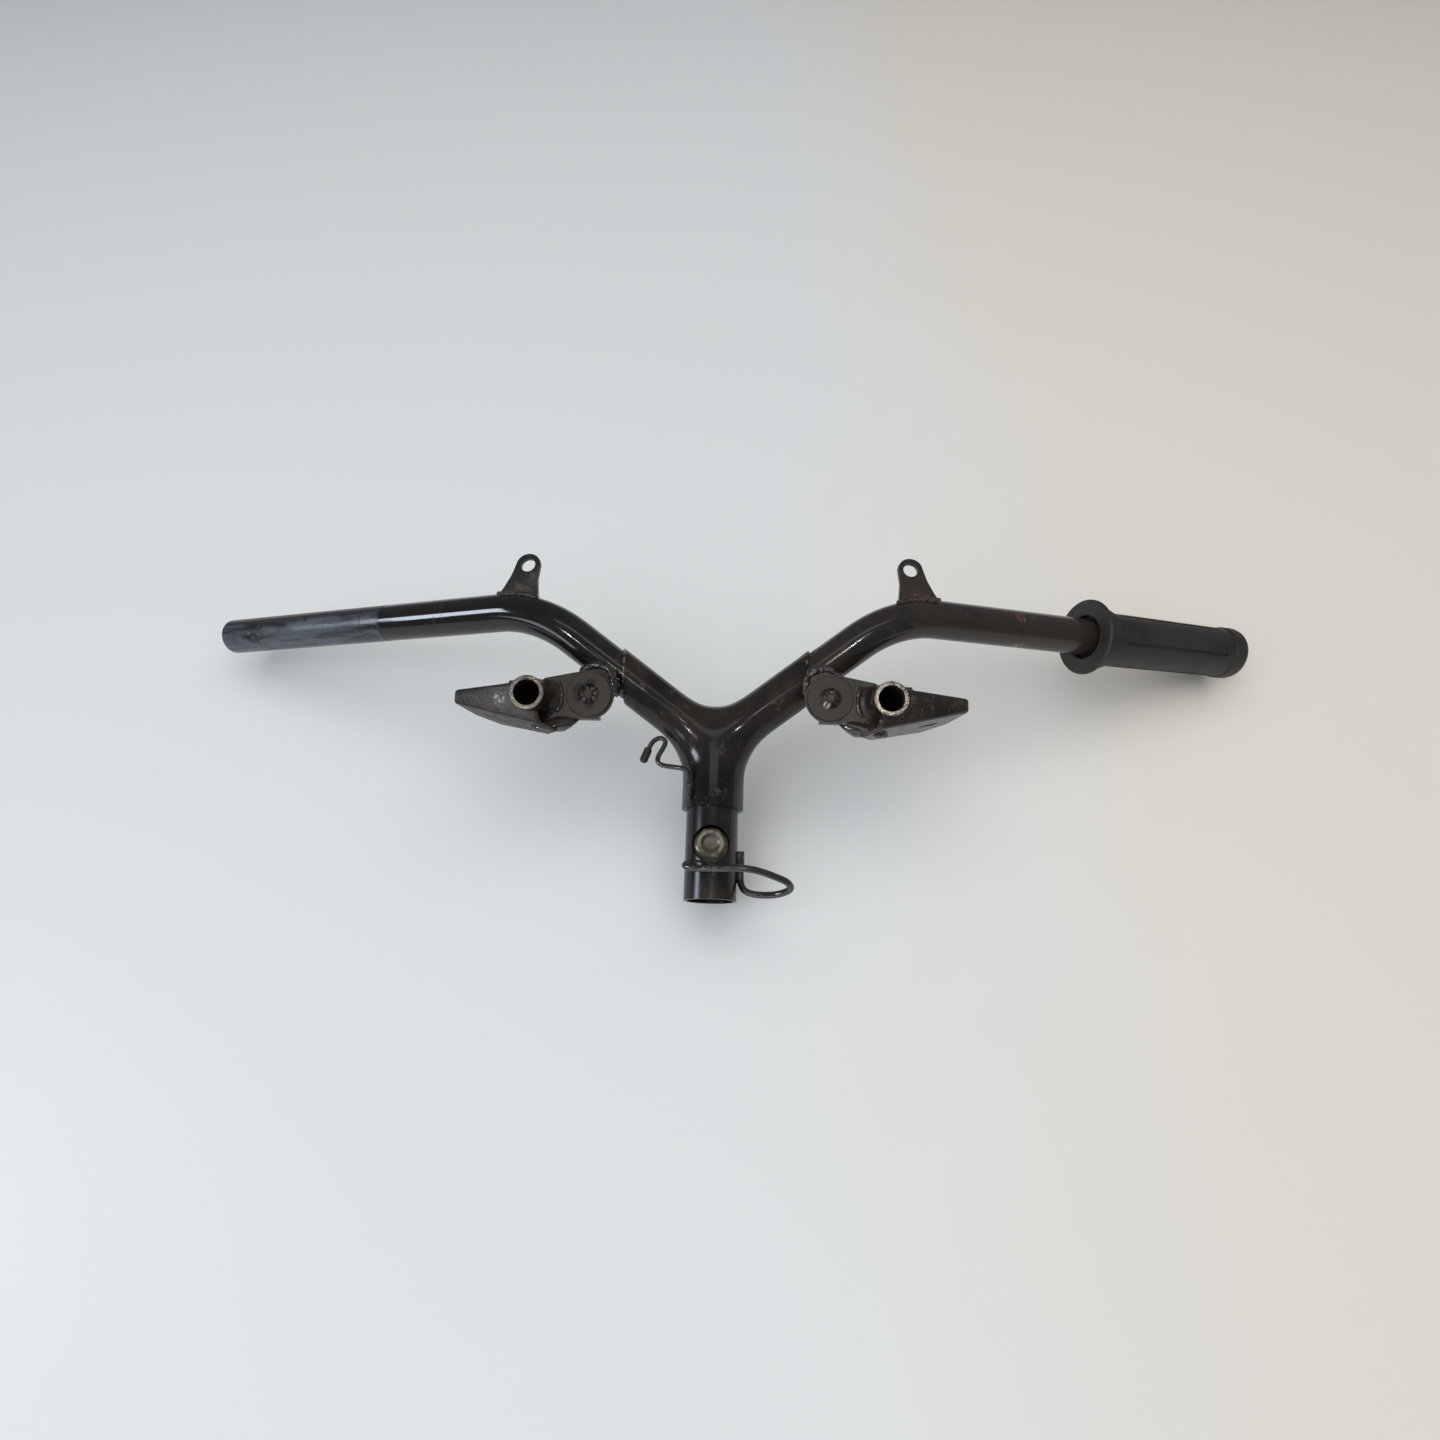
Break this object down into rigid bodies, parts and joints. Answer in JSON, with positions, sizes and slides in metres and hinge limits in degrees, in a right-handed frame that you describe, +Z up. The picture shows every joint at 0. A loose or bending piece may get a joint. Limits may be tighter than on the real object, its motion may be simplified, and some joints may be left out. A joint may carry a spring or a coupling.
{
  "type": "scooter handlebar",
  "caption": "Bent tube scooter handlebar: pressed Y lug on a stem clamp tube, with fairing tabs, side brackets, cable guides and one rubber grip.",
  "frame": {"origin": "centre of the stem clamp tube's open lower mouth", "axes": "+Z up the stem clamp tube; +X along the bars towards the gripped end; +Y back to the rider"},
  "size_m": [0.6694, 0.116, 0.1967],
  "materials": {
    "black_paint": "gloss black paint with dust, chips and rust spots",
    "rusty_bracket": "black paint gone brown with rust and dirt",
    "zinc": "dull zinc plating with dirt",
    "rubber": "matte, dusty"
  },
  "bodies": {
    "root": {"left_bar_tube": "black_paint", "right_bar_tube": "black_paint", "lug_front_shell": "black_paint", "lug_rear_shell": "black_paint", "stem_tube": "black_paint", "stem_bolt": "zinc", "stem_nut": "zinc", "cable_ring": "black_paint", "cable_hook": "black_paint", "hook_cap": "rubber", "left_tab": "black_paint", "right_tab": "black_paint", "left_wedge": "rusty_bracket", "right_wedge": "rusty_bracket", "left_collar": "rusty_bracket", "right_collar": "rusty_bracket", "left_link": "rusty_bracket", "right_link": "rusty_bracket", "left_disc": "rusty_bracket", "right_disc": "rusty_bracket", "left_pin": "rusty_bracket", "right_pin": "rusty_bracket", "left_boss": "rusty_bracket", "right_boss": "rusty_bracket", "grip": "rubber"}
  },
  "joints": []
}
